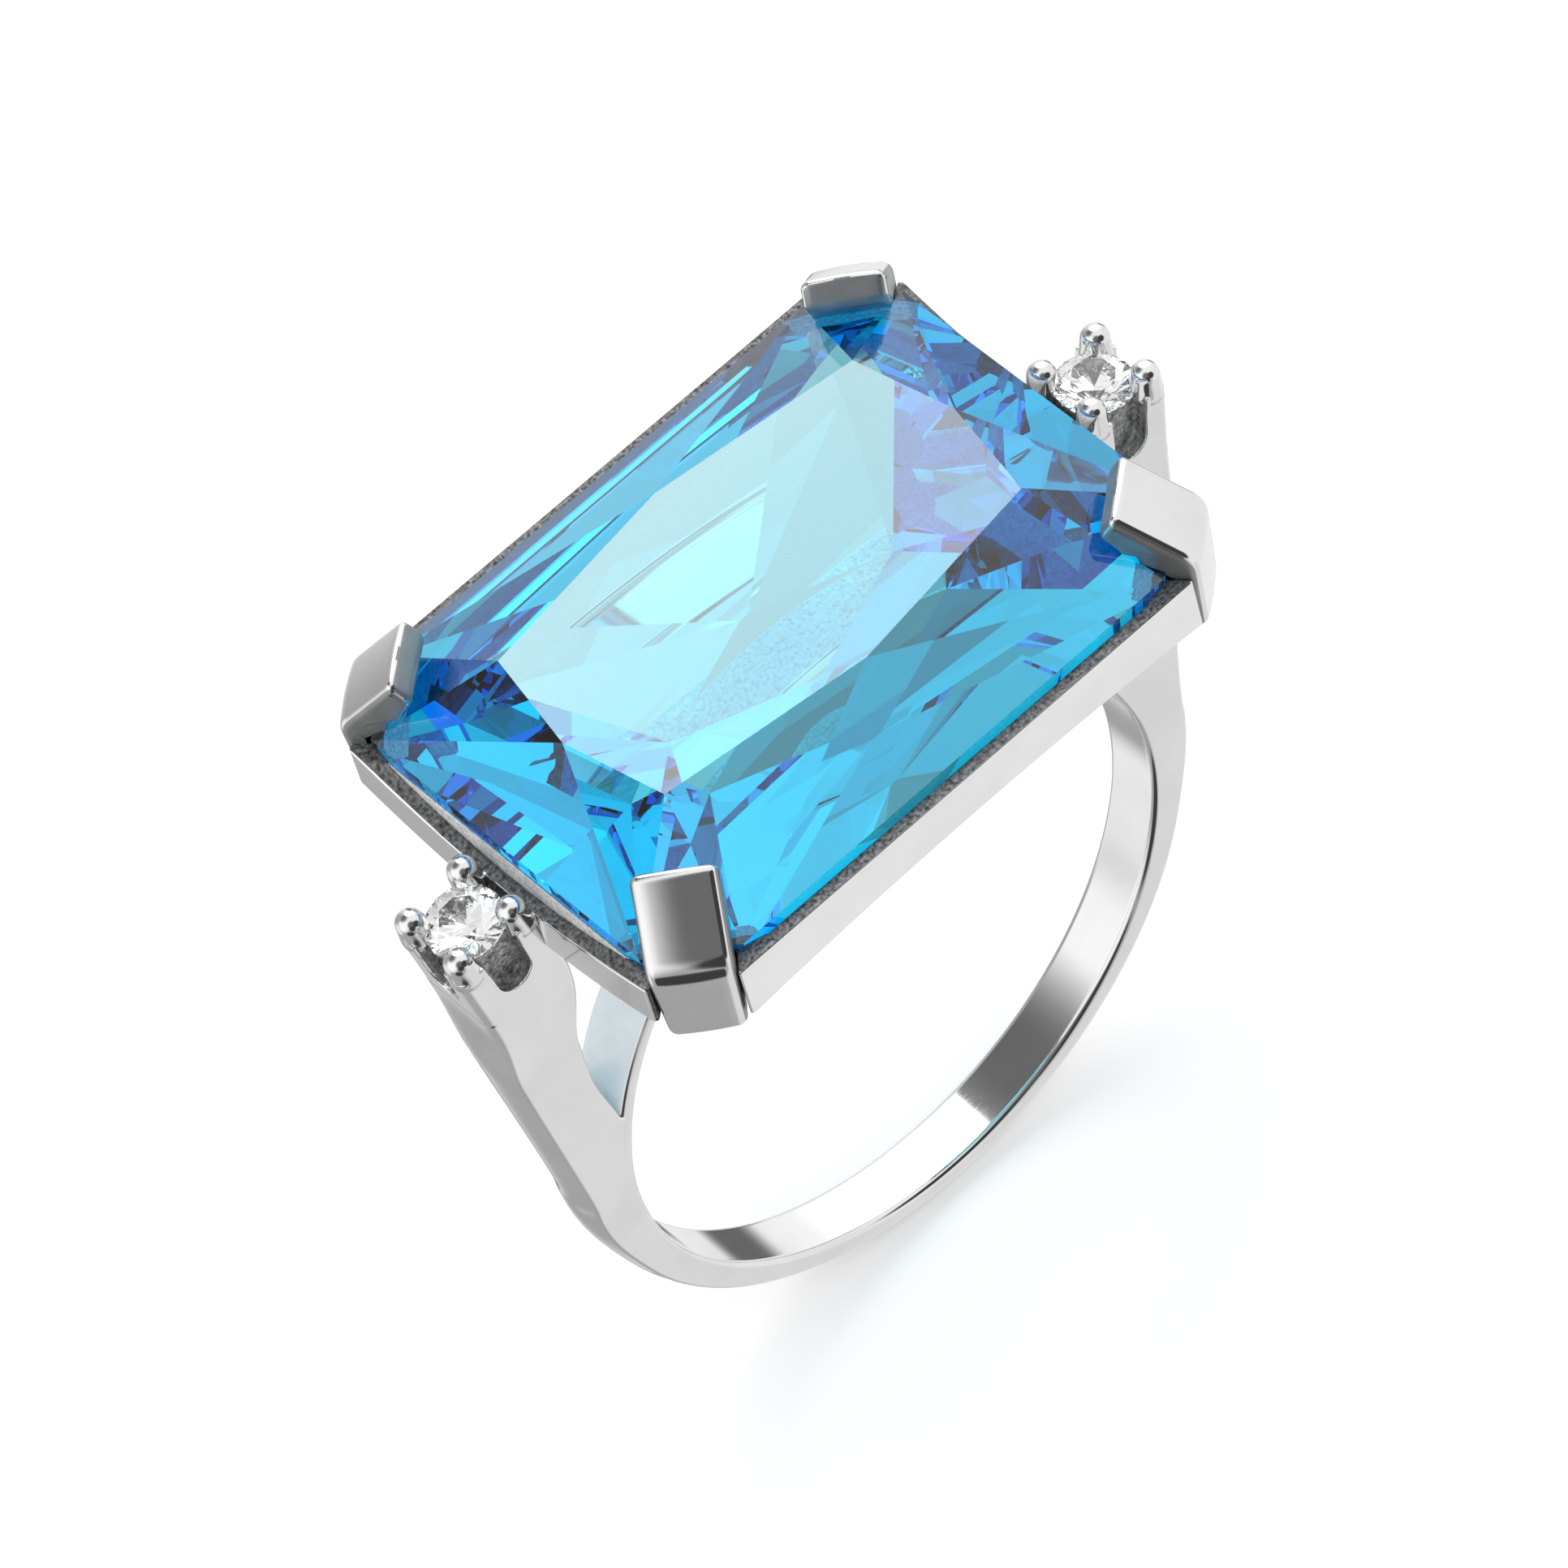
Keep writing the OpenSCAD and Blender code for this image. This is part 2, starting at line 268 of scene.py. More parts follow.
def tint(tree, value, dark, light):
    """Maps a value from 0 to 1 onto two colours."""
    node = tree.nodes.new("ShaderNodeMix")
    node.data_type = "RGBA"
    node.inputs["A"].default_value = (*dark, 1)
    node.inputs["B"].default_value = (*light, 1)
    tree.links.new(value, node.inputs["Factor"])
    return node.outputs["Result"]


def bump(tree, shader, height, strength, distance):
    """Raises the surface by a height texture; distance is in metres."""
    node = tree.nodes.new("ShaderNodeBump")
    node.inputs["Strength"].default_value = strength
    node.inputs["Distance"].default_value = distance
    tree.links.new(height, node.inputs["Height"])
    tree.links.new(node.outputs["Normal"], shader.inputs["Normal"])


def polished_metal(name, polish, scratch_axis, shine=0.83):
    """Rhodium-bright silver: a slow unevenness in the polish and fine hairlines along one axis."""
    material, tree, shader = new_material(name)
    shader.inputs["Metallic"].default_value = 1
    cloud = noise(tree, 600, 2)
    stretch = tuple(0.08 if i == scratch_axis else 1 for i in range(3))
    hairline = noise(tree, 22000, 2, stretch)
    colour = tint(tree, ramp(tree, cloud, 0, 1), (shine - 0.03,) * 3, (shine + 0.03,) * 3)
    tree.links.new(colour, shader.inputs["Base Color"])
    tree.links.new(ramp(tree, hairline, polish, polish + 0.06), shader.inputs["Roughness"])
    bump(tree, shader, hairline, 0.05, 0.000002)
    return material


def cast_metal(name, dark=0.20, light=0.70, metallic=1.0):
    """Unpolished casting: grain about 0.1 mm across with finer pits in it."""
    material, tree, shader = new_material(name)
    shader.inputs["Metallic"].default_value = metallic
    grain = noise(tree, 9000, 4)
    colour = tint(tree, ramp(tree, grain, 0, 1), (dark,) * 3, (light,) * 3)
    tree.links.new(colour, shader.inputs["Base Color"])
    tree.links.new(ramp(tree, grain, 0.7, 0.5), shader.inputs["Roughness"])
    bump(tree, shader, grain, 0.8, 0.00006)
    return material


def satin_metal(name, shine=0.84, roughness=0.2, metallic=1.0):
    """Metal smoothed but not polished: a soft, faintly uneven shine."""
    material, tree, shader = new_material(name)
    shader.inputs["Metallic"].default_value = metallic
    mottle = noise(tree, 1500, 2)
    colour = tint(tree, ramp(tree, mottle, 0, 1), (shine,) * 3, (shine + 0.06,) * 3)
    tree.links.new(colour, shader.inputs["Base Color"])
    tree.links.new(ramp(tree, mottle, roughness + 0.06, roughness), shader.inputs["Roughness"])
    bump(tree, shader, mottle, 0.1, 0.000005)
    return material


def gem(name, index, stain=None):
    """A clear cut stone; a stain colours it more the longer the path through it."""
    stain_per_metre = 300
    material, tree, shader = new_material(name)
    shader.inputs["Base Color"].default_value = (1, 1, 1, 1)
    shader.inputs["Transmission Weight"].default_value = 1
    shader.inputs["Roughness"].default_value = 0
    shader.inputs["IOR"].default_value = index
    if stain:
        node = tree.nodes.new("ShaderNodeVolumeAbsorption")
        node.inputs["Color"].default_value = (*stain, 1)
        node.inputs["Density"].default_value = stain_per_metre
        tree.links.new(node.outputs["Volume"], tree.nodes["Material Output"].inputs["Volume"])
    return material


HOOP_METAL = polished_metal("hoop_polish", 0.05, 0)
GALLERY_METAL = polished_metal("gallery_polish", 0.06, 0, 0.95)
CLAW_METAL = polished_metal("claw_polish", 0.05, 2)
ACCENT_METAL = polished_metal("accent_polish", 0.07, 2)
CAST_METAL = cast_metal("cast_grain")
# Cast grain with a pale base colour: painted light that brightens the hoop's top and the seat in the shade
# under the stone.
PAINTED_LIGHT_CAST = cast_metal("cast_grain_painted_light", 0.50, 0.95, 0.4)
# Cast grain with a dark base colour: painted shade for the crevice between the stone's girdle and the gallery
# wall.
CREVICE_SHADE_CAST = cast_metal("cast_grain_painted_shade", 0.07, 0.36)
SATIN_METAL = satin_metal("satin_metal", 0.84, 0.3, 0.25)
# Satin metal with a dark base colour: painted shade on the claws' sides and ends; the roughness is their
# filed finish.
FILED_SHADED_METAL = satin_metal("filed_metal_painted_shade", 0.27, 0.34, 0.8)
BLUE_STONE = gem("blue_stone_cut", 1.866, stain=(0.035, 0.895, 0.985))
CLEAR_STONE = gem("clear_stone_cut", 2.15)


# ---------------------------------------------------------------- hoop


def arc_points(centre_u, centre_v, radius, start, end, count):
    """Points on an arc, angles in degrees."""
    angles = np.radians(np.linspace(start, end, count))
    return [(centre_u + radius * math.cos(a), centre_v + radius * math.sin(a)) for a in angles]


def arm_swell(z):
    """How far the outside stands out from the hoop's circle near the shoulders."""
    start_z = -3
    return ARM_SWELL * smooth_step((z - start_z) / (SPLIT_Z - start_z))


def hoop_outside(angle):
    """Distance from the bore's centre to the outside edge of the hoop at an angle."""
    circle = HOOP_RISE * math.sin(angle) + math.sqrt(HOOP_R**2 - (HOOP_RISE * math.cos(angle)) ** 2)
    return circle + arm_swell(circle * math.sin(angle))


def block_outline(inner, outer, half, edge, bulge, inner_edge=None, side_bulge=0):
    """Outline of a block from its inside to its outside: rounded edges, crowned outside and sides."""
    inner_edge = inner_edge or edge
    depth = outer - edge - inner - inner_edge
    side = [(inner + inner_edge + t * depth, t) for t in np.linspace(0.15, 0.85, 5)]
    front = [(u, -half - side_bulge * 4 * t * (1 - t)) for u, t in side]
    outline = arc_points(inner + inner_edge, -half + inner_edge, inner_edge, 180, 270, 6) + front
    outline += arc_points(outer - edge, -half + edge, edge, 270, 345, 5)
    outline += [(outer + bulge * (1 - c * c), c * (half - edge)) for c in np.linspace(-0.9, 0.9, 9)]
    outline += arc_points(outer - edge, half - edge, edge, 15, 90, 5)
    outline += [(u, -v) for u, v in reversed(front)]
    return outline + arc_points(inner + inner_edge, half - inner_edge, inner_edge, 90, 180, 6)


def build_shank():
    """The hoop; above the split its outside sinks over top_blend to that of the thin inner arms."""
    top_blend = 1.8
    grain_z = 7
    rings = []
    for angle in np.linspace(0, 2 * math.pi, 360, endpoint=False):
        z = hoop_outside(angle) * math.sin(angle)
        rise = np.clip((z - SPLIT_Z) / top_blend, 0, 1)
        rise = rise * (2 - rise)
        outer = hoop_outside(angle) * (1 - rise) + (INNER_ARM_R - 0.03) * rise
        bulge = HOOP_BULGE * (1 - rise) + 0.03 * rise
        edge = min(BLOCK_EDGE, (outer - BORE_R) / 4)
        section = block_outline(BORE_R, outer, BAND_HALF, edge, bulge, edge + 0.04, BLOCK_SIDE_BULGE)
        rings.append([(r * math.cos(angle), y, r * math.sin(angle)) for r, y in section])
    made = loft("shank_look", rings, closed=True)
    shade(made)
    even_normals(made)

    def finish_of(face):
        """Polished below the fork and at the sides; outside, satin above the fork, and at the top grainy cast
        brightened with painted light.
        """
        outside = math.hypot(face.center.x, face.center.z) > BORE_R + 0.3
        if not outside or abs(face.center.y) >= 0.95 * BAND_HALF or face.center.z < FORK_Z:
            return 0
        return 1 if face.center.z < grain_z else 2

    paint_faces(made, finish_of)
    return finish_piece(made, "shank", [HOOP_METAL, SATIN_METAL, PAINTED_LIGHT_CAST])


# ---------------------------------------------------------------- shoulders


def arm_outer_x(z):
    """Outside of the arm: on the hoop's own line up to the split, then nearly straight out to the head."""
    start = math.sqrt(HOOP_R**2 - (min(z, SPLIT_Z) - HOOP_RISE) ** 2) + arm_swell(z)
    rise = max(z - SPLIT_Z, 0)
    return start + ARM_SLOPE * rise**2 / (rise + 0.5)


def arm_inner_x(z):
    """Inside of the arm: buried in the inner arm below the fork, then nearly straight to the head."""
    inner_arm_x = math.sqrt(INNER_ARM_R**2 - min(z, FORK_Z) ** 2)
    if z < FORK_Z:
        return inner_arm_x - 0.25
    heights = [FORK_Z, 5.2, 7, 9.5, 11.5]
    reach = [inner_arm_x - 0.08, HEAD_X - 1.41, HEAD_X - 1.34, HEAD_X - 1.29, HEAD_X - 1.32]
    return smooth_curve(heights, reach, z)


def arm_half_width(z):
    """Half the arm's width across the finger, from the band's to the head's."""
    rise = max(z - SPLIT_Z, 0) / (HEAD_Z - HEAD_H - SPLIT_Z)
    return BAND_HALF + ARM_PROUD + (HEAD_HALF - BAND_HALF) * min(rise, 1) ** 2


def build_shoulder(side, name):
    """The outer arm; from turn_z up it turns into the accent head's square post, and it sleeves its foot."""
    sleeve_z = -HEAD_H + 0.3
    turn_z = 7.2
    top = HEAD_Z + sleeve_z * math.cos(HEAD_LEAN)
    lean = Vector((math.tan(HEAD_LEAN), 0, 1))
    rings = []
    for z in np.linspace(SPLIT_Z - 0.4, top, 150):
        turn = smooth_step((z - turn_z) / (top - 0.3 - turn_z))
        dive = np.clip((z - top + 0.12) / 0.12, 0, 1)
        outer, half = arm_outer_x(z) + ARM_PROUD, arm_half_width(z)
        plain = block_outline(
            arm_inner_x(z), outer, half, BLOCK_EDGE, HOOP_BULGE, side_bulge=BLOCK_SIDE_BULGE
        )
        post = head_outline(HEAD_HALF + 0.006 - 0.04 * dive)
        ring = []
        for (x, y), (end_x, end_y) in zip(plain, post):
            goal = head_place(1) @ Vector((end_x, end_y, sleeve_z)) + lean * (z - top)
            ring.append((x + (goal.x - x) * turn, y + (goal.y - y) * turn, z + (goal.z - z) * turn))
        rings.append(mirrored(ring, side))
    made = loft(f"shoulder_{name}_look", rings)
    crisp_ends(made, len(rings[0]))
    shade(made)
    even_normals(made)
    return finish_piece(made, f"shoulder_{name}", [HOOP_METAL])


# ---------------------------------------------------------------- gallery

# The claws' width at the bend and at the foot, and their middle's place across the corner direction.
CLAW_W = 2.1
CLAW_W_FOOT = 1.9
CLAW_OFFSET = HALF_W * CORNER_DIR[0] - HALF_L * CORNER_DIR[1] + 0.2

# The wall: its thickness, the height and arch of the long sides, the sag and height of the short ones,
# and where its corner cut runs outside and inside.
WALL_T = 0.36
WALL_H = 1.4
LONG_ARCH = 0.45
SHORT_SAG = 0.9
SHORT_H = 1.3
CORNER_OUTER = STONE_CORNER + 0.62
CORNER_INNER = STONE_CORNER - 0.4


def corner_point(distance, across):
    """A point of the first quadrant from its distance along the corner direction and its place across it."""
    return np.array(
        [
            distance * CORNER_DIR[0] - across * CORNER_DIR[1],
            distance * CORNER_DIR[1] + across * CORNER_DIR[0],
        ]
    )


def cut_corner(half_x, half_y, corner=STONE_CORNER):
    """The two ends of a rectangle's corner cut, the one on the short side first; corner is its distance."""
    x = (corner - half_y * CORNER_DIR[1]) / CORNER_DIR[0]
    y = (corner - half_x * CORNER_DIR[0]) / CORNER_DIR[1]
    return np.array([half_x, y]), np.array([x, half_y])


def wall_quarter():
    """Outer and inner edge of the gallery wall through the first quadrant, notched where the claw stands."""
    short_end, long_end = cut_corner(WALL_X, WALL_Y, CORNER_OUTER)
    short_in, long_in = cut_corner(WALL_X - WALL_T, WALL_Y - WALL_T, CORNER_INNER)
    near, far = CLAW_OFFSET - CLAW_W / 2, CLAW_OFFSET + CLAW_W / 2
    outer = [np.array([WALL_X, y]) for y in np.linspace(0, short_end[1], 12)]
    inner = [np.array([WALL_X - WALL_T, y]) for y in np.linspace(0, short_in[1], 12)]
    notch = [(CORNER_OUTER, near), (STONE_CORNER, near), (STONE_CORNER, far), (CORNER_OUTER, far)]
    outer += [corner_point(d, t) for d, t in notch]
    inner += [short_in + (long_in - short_in) * share for share in (0.2, 0.25, 0.75, 0.8)]
    outer += [np.array([x, WALL_Y]) for x in np.linspace(long_end[0], 0, 20)]
    inner += [np.array([x, WALL_Y - WALL_T]) for x in np.linspace(long_in[0], 0, 20)]
    return outer, inner


def wall_heights(x, y):
    """Bottom and top of the wall: the long walls are arched below, the short ones sag between two arcs."""
    sag_reach = WALL_Y - 1
    if abs(y) > sag_reach - 0.2:
        radius = WALL_X**2 / (2 * LONG_ARCH) + LONG_ARCH / 2
        return WALL_TOP - WALL_H - radius + math.sqrt(radius**2 - x * x), WALL_TOP
    radius = sag_reach**2 / (2 * SHORT_SAG) + SHORT_SAG / 2
    top = WALL_TOP - SHORT_SAG + radius - math.sqrt(radius**2 - y * y)
    return top - SHORT_H, top


def round_the_stone(quarter):
    """Repeats the first quadrant's points round all four, without doubling those on the axes."""
    half = quarter + [np.array([-p[0], p[1]]) for p in reversed(quarter[:-1])]
    return half[:-1] + [-p for p in half[:-1]]


def build_gallery():
    """The wall round the stone: polished outside; on its top edge and inside, cast grain darkened as painted
    shade.
    """
    outer, inner = (round_the_stone(edge) for edge in wall_quarter())
    rings = []
    for out_point, in_point in zip(outer, inner):
        bottom, top = wall_heights(*out_point)
        rings.append([(*out_point, bottom), (*out_point, top), (*in_point, top), (*in_point, bottom)])
    made = loft("gallery_wall_look", rings, closed=True)
    shade(made)
    bevel(made, 0.05, 3, 40)
    even_normals(made)
    bake_shape(made)

    def finish_of(face):
        """Polished on the outside; on top and inside, the dark cast grain that paints the crevice's shade."""
        outside = max(abs(face.center.x) - WALL_X, abs(face.center.y) - WALL_Y) > -0.04
        return 0 if outside and face.normal.z < 0.9 else 1

    paint_faces(made, finish_of)
    return finish_piece(made, "gallery_wall", [GALLERY_METAL, CREVICE_SHADE_CAST])


def build_seat():
    """The ledge inside the wall that the stone's girdle sits on, sloped above to fit under the pavilion."""
    seat_w, gap = 0.75, 0.04
    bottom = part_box("stone_seat")[0].z / MM
    outer = cut_corner(HALF_L + gap, HALF_W + gap, CORNER_INNER)
    inner = cut_corner(HALF_L - seat_w, HALF_W - seat_w, CORNER_INNER - seat_w)
    rings = []
    for side_x, side_y in ((1, 1), (-1, 1), (-1, -1), (1, -1)):
        order = (0, 1) if side_x * side_y > 0 else (1, 0)
        for k in order:
            out_point, in_point = (side_x, side_y) * outer[k], (side_x, side_y) * inner[k]
            rings.append(
                [
                    (*out_point, bottom),
                    (*out_point, GIRDLE_Z - 0.02),
                    (*(0.8 * out_point + 0.2 * in_point), GIRDLE_Z - 0.22),
                    (*in_point, bottom + 0.12),
                    (*in_point, bottom),
                ]
            )
    made = loft("stone_seat_look", rings, closed=True)
    shade(made)
    bevel(made, 0.03, 2)
    even_normals(made)
    # The seat's pale cast grain is painted light, lifted against the shade under the stone.
    return finish_piece(made, "stone_seat", [PAINTED_LIGHT_CAST])


# ---------------------------------------------------------------- claws

# Foot and bend of the claw's outside as distance along the corner direction and height; how far the tip
# reaches in over the front and the rear of the stone; and the slope of the crown under it.
CLAW_FOOT = np.array([STONE_CORNER + 0.66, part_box("claw_front_left")[0].z / MM])
CLAW_BEND = np.array([STONE_CORNER + 0.8, GIRDLE_TOP + 0.25])
CLAW_TIP_Z = GIRDLE_TOP + 1.95
CLAW_REACH = {-1: 1.0, 1: 0.86}
CLAW_T = 0.8
CLAW_END_LEAN = math.radians(34)
CROWN_SLOPE = 0.53


def crown_height(distance):
    """Height of the crown's corner facet at a distance along the corner direction."""
    return GIRDLE_TOP + (STONE_CORNER - distance) * CROWN_SLOPE


def unit(vector):
    """The vector at length 1."""
    return vector / np.linalg.norm(vector)


def rounded(corners):
    """A closed outline with each corner rounded; a corner is a point and how far back its rounding starts."""
    outline = []
    for i, (corner, reach) in enumerate(corners):
        start = corner + reach * unit(corners[i - 1][0] - corner)
        end = corner + reach * unit(corners[(i + 1) % len(corners)][0] - corner)
        for t in np.linspace(0, 1, 9 if reach else 1):
            outline.append((1 - t) ** 2 * start + 2 * t * (1 - t) * corner + t * t * end)
    return outline


def claw_corners(tip):
    """Corners of the claw's profile as distance and height: down the leg, up the seat, back to the tip."""
    low = tip - CLAW_T * np.array([math.sin(CLAW_END_LEAN), math.cos(CLAW_END_LEAN)])
    rest = low[0] + 0.45
    return [
        (tip, 0.26),
        (CLAW_BEND, 0.4),
        (CLAW_FOOT, 0.2),
        (np.array([STONE_CORNER + 0.02, CLAW_FOOT[1]]), 0.2),
        (np.array([STONE_CORNER + 0.02, GIRDLE_TOP - 0.1]), 0),
        (np.array([STONE_CORNER + 0.16, GIRDLE_TOP + 0.12]), 0),
        (np.array([STONE_CORNER - 0.1, crown_height(STONE_CORNER - 0.1) + 0.2]), 0),
        (np.array([rest + 0.05, crown_height(rest) + 0.02]), 0),
        (low, 0.26),
    ]


def build_claw(side_x, side_y, node):
    """The claw's profile, drawn across its width; toward each side it shrinks along a quarter circle."""
    tip = np.array([STONE_CORNER - CLAW_REACH[side_y], CLAW_TIP_Z])
    profile = rounded(claw_corners(tip))
    before, after = profile[-1:] + profile[:-1], profile[1:] + profile[:1]
    along = [unit(b - a) for a, b in zip(before, after)]
    normals = [np.array([-t[1], t[0]]) for t in along]
    round_r, crown, taper_h = 0.24, 0.07, 2.5
    quarter = np.linspace(math.pi / 2, 0, 7)
    flat = np.linspace(-0.75, 0.75, 7)
    columns = [(-1, a) for a in quarter] + [(share, 0) for share in flat] + [(1, a) for a in quarter[::-1]]
    rings = []
    for share, angle in columns:
        ring = []
        for point, normal in zip(profile, normals):
            taper = np.clip((CLAW_BEND[1] - point[1]) / taper_h, 0, 1)
            half = CLAW_W / 2 - (CLAW_W - CLAW_W_FOOT) / 2 * taper
            across = share * (half - round_r + round_r * math.sin(angle))
            faces_out = np.clip(normal.sum(), 0, 1)
            lift = crown * faces_out * (1 - (across / half) ** 2) - round_r * (1 - math.cos(angle))
            distance, z = point + normal * lift
            x, y = corner_point(distance, CLAW_OFFSET + across)
            ring.append((side_x * x, side_y * y, z))
        rings.append(ring)
    made = loft(f"{node}_look", rings)
    shade(made)
    even_normals(made)
    bake_shape(made)
    sideways = Vector((side_x * CORNER_DIR[1], -side_y * CORNER_DIR[0], 0))
    inward = Vector((-side_x * CORNER_DIR[0], -side_y * CORNER_DIR[1], 0))

    def finish_of(face):
        """Filed and darkened with painted shade at the sides and at the end over the stone, polished
        elsewhere.
        """
        return 1 if abs(face.normal.dot(sideways)) > 0.8 or face.normal.dot(inward) > 0.6 else 0

    paint_faces(made, finish_of)
    return finish_piece(made, node, [CLAW_METAL, FILED_SHADED_METAL])


# ---------------------------------------------------------------- accent heads


def head_place(side):
    """Frame of one accent head: z up through its stone, x away from the main stone."""
    return (
        Matrix.Scale(side, 4, Vector((1, 0, 0)))
        @ Matrix.Translation((HEAD_X, 0, HEAD_Z))
        @ Matrix.Rotation(HEAD_LEAN, 4, "Y")
    )


def put(made, place):
    """Moves a piece to its place, and turns its faces outward again where that mirrors it."""
    made.data.transform(place)
    outward(made)


def cylinder(name, radius, low, high, sides=48, top_radius=None):
    """An upright cylinder or cone between two heights."""
    top_radius = radius if top_radius is None else top_radius
    turn = np.linspace(0, 2 * math.pi, sides, endpoint=False)
    rings = [
        [(r * math.cos(a), r * math.sin(a), z) for a in turn] for r, z in ((radius, low), (top_radius, high))
    ]
    return loft(name, rings)


def cut(made, tools):
    """Takes the tool bodies away from a piece."""
    for tool in tools:
        mod = made.modifiers.new("cut", "BOOLEAN")
        mod.operation = "DIFFERENCE"
        mod.object = tool
        mod.solver = "EXACT"
    bake_shape(made)
    for tool in tools:
        bpy.data.objects.remove(tool)


def head_outline(half=HEAD_HALF):
    """Outline of the head's square post, with rounded corners."""
    return block_outline(-half, half, half, 0.25, 0)


def cup_blank():
    """The head's post before it is bored and notched."""
    return loft("cup_blank", [[(x, y, z) for x, y in head_outline()] for z in (-HEAD_H, CUP_TOP)])


def notch(turn):
    """A slot with a round foot in one side of the post, between its corners, depth from the axis outward."""
    half, foot, depth = 0.5, -1.15, 0.82
    outline = arc_points(0, foot, half, 180, 360, 13) + [(half + 0.08, 1), (-half - 0.08, 1)]
    made = loft("notch", [[(x, y, z) for x, z in outline] for y in (depth, 2)])
    made.data.transform(Matrix.Rotation(math.radians(turn), 4, "Z"))
    return made


def build_cup(side, name):
    """The bored and notched post, with the soft edges of a casting; inside it stays unpolished."""
    made = cup_blank()
    made.name = f"accent_cup_{name}_look"
    cut(made, [
        cylinder("bore", 0.6, -HEAD_H + 0.35, 1),
        cylinder("seat", 0.3, -0.7, CUP_TOP + 0.01, top_radius=ACCENT_R + 0.06),
        *[notch(turn) for turn in (0, 90, 180, 270)],
    ])
    remesh = made.modifiers.new("remesh", "REMESH")
    remesh.mode = "VOXEL"
    remesh.voxel_size = 0.035
    smooth = made.modifiers.new("smooth", "SMOOTH")
    smooth.iterations = 4
    bake_shape(made)

    def finish_of(face):
        """Polished on the outside and at the foot, cast in the bore and the notches."""
        outside = max(abs(face.center.x), abs(face.center.y)) > HEAD_HALF - 0.16
        return 0 if outside or face.center.z < -HEAD_H + 0.1 else 1

    paint_faces(made, finish_of)
    put(made, head_place(side))
    shade(made)
    return finish_piece(made, f"accent_cup_{name}", [ACCENT_METAL, CAST_METAL])


def build_prong(side, name, corner):
    """A stem that swells into a bead over the stone's edge."""
    bead_r, bead_z = 0.38, 0.34
    stem = [(0.45, CUP_TOP - 0.3), (0.44, CUP_TOP - 0.1), (0.41, 0.05), (0.39, 0.2)]
    climb = np.radians(np.linspace(0, 86, 10))
    bead = [(bead_r * math.cos(a), bead_z + 0.95 * bead_r * math.sin(a)) for a in climb]
    turn = np.linspace(0, 2 * math.pi, 28, endpoint=False)
    rings = [[(r * math.cos(a), r * math.sin(a), z) for a in turn] for r, z in stem + bead]
    made = loft(f"prong_{name}_{corner + 1}_look", rings)
    stand = Matrix.Rotation(math.radians(45 + 90 * corner), 4, "Z") @ Matrix.Translation((PRONG_REACH, 0, 0))
    put(made, head_place(side) @ stand)
    shade(made)
    return finish_piece(made, f"prong_{name}_{corner + 1}", [ACCENT_METAL])


# ---------------------------------------------------------------- stones


def hull_object(name, points):
    """The convex body round some points, with each flat facet as one face."""
    work = bmesh.new()
    for p in points:
        work.verts.new(tuple(p))
    bmesh.ops.convex_hull(work, input=work.verts)
    loose = [v for v in work.verts if not v.link_faces]
    bmesh.ops.delete(work, geom=loose, context="VERTS")
    bmesh.ops.dissolve_limit(work, angle_limit=math.radians(0.3), verts=work.verts, edges=work.edges)
    mesh = bpy.data.meshes.new(name)
    work.to_mesh(mesh)
    work.free()
    made = bpy.data.objects.new(name, mesh)
    bpy.context.scene.collection.objects.link(made)
    outward(made)
    return made


# The table's corners, and the points in the middle of its four sides.
TABLE_X, TABLE_Y = 0.663 * HALF_L, 0.466 * HALF_W
TABLE_POINT_X, TABLE_POINT_Y = 0.730 * HALF_L, 0.586 * HALF_W
# The rectangle where the pavilion's slope changes, and the flat keel with its waist.
BREAK_X, BREAK_Y, BREAK_DEPTH = 0.65 * HALF_L, 0.58 * HALF_W, 0.49 * PAVILION_H
KEEL_X = 0.42 * HALF_L
WAIST_X, WAIST_Y = 0.13, 0.21 * HALF_W


def main_stone_points():
    """Crown with a pointed table, and a pavilion that closes over a plain rectangle to a long flat keel."""
    quadrants = [(sx, sy) for sx in (-1, 1) for sy in (-1, 1)]
    points = [(sx * TABLE_X, sy * TABLE_Y, TABLE_Z) for sx, sy in quadrants]
    points += [(sx * TABLE_POINT_X, 0, TABLE_Z) for sx in (-1, 1)]
    points += [(0, sy * TABLE_POINT_Y, TABLE_Z) for sy in (-1, 1)]
    girdle = [(sx * x, sy * y) for sx, sy in quadrants for x, y in cut_corner(HALF_L, HALF_W)]
    points += [(x, y, z) for x, y in girdle for z in (GIRDLE_TOP, GIRDLE_Z)]
    points += [(sx * BREAK_X, sy * BREAK_Y, GIRDLE_Z - BREAK_DEPTH) for sx, sy in quadrants]
    points += [(sx * WAIST_X, sy * WAIST_Y, CULET_Z) for sx, sy in quadrants]
    points += [(sx * KEEL_X, 0, CULET_Z) for sx in (-1, 1)]
    return points


def build_main_stone():
    """The blue stone, with flat facets."""
    made = hull_object("main_stone_look", main_stone_points())
    shade(made, False)
    return finish_piece(made, "main_stone", [BLUE_STONE])


def brilliant_points():
    """Corners of a round brilliant of radius 1 with its girdle at height 0."""
    points = []
    for k in range(8):
        table = math.pi / 4 * (k + 0.5)
        main = math.pi / 4 * k
        points.append((0.56 * math.cos(table), 0.56 * math.sin(table), 0.33))
        points.append((0.80 * math.cos(main), 0.80 * math.sin(main), 0.205))
        points.append((0.24 * math.cos(table), 0.24 * math.sin(table), -0.66))
    for k in range(16):
        edge = math.pi / 8 * k
        points += [(math.cos(edge), math.sin(edge), z) for z in (0.05, 0.0)]
    points.append((0, 0, -0.86))
    return points


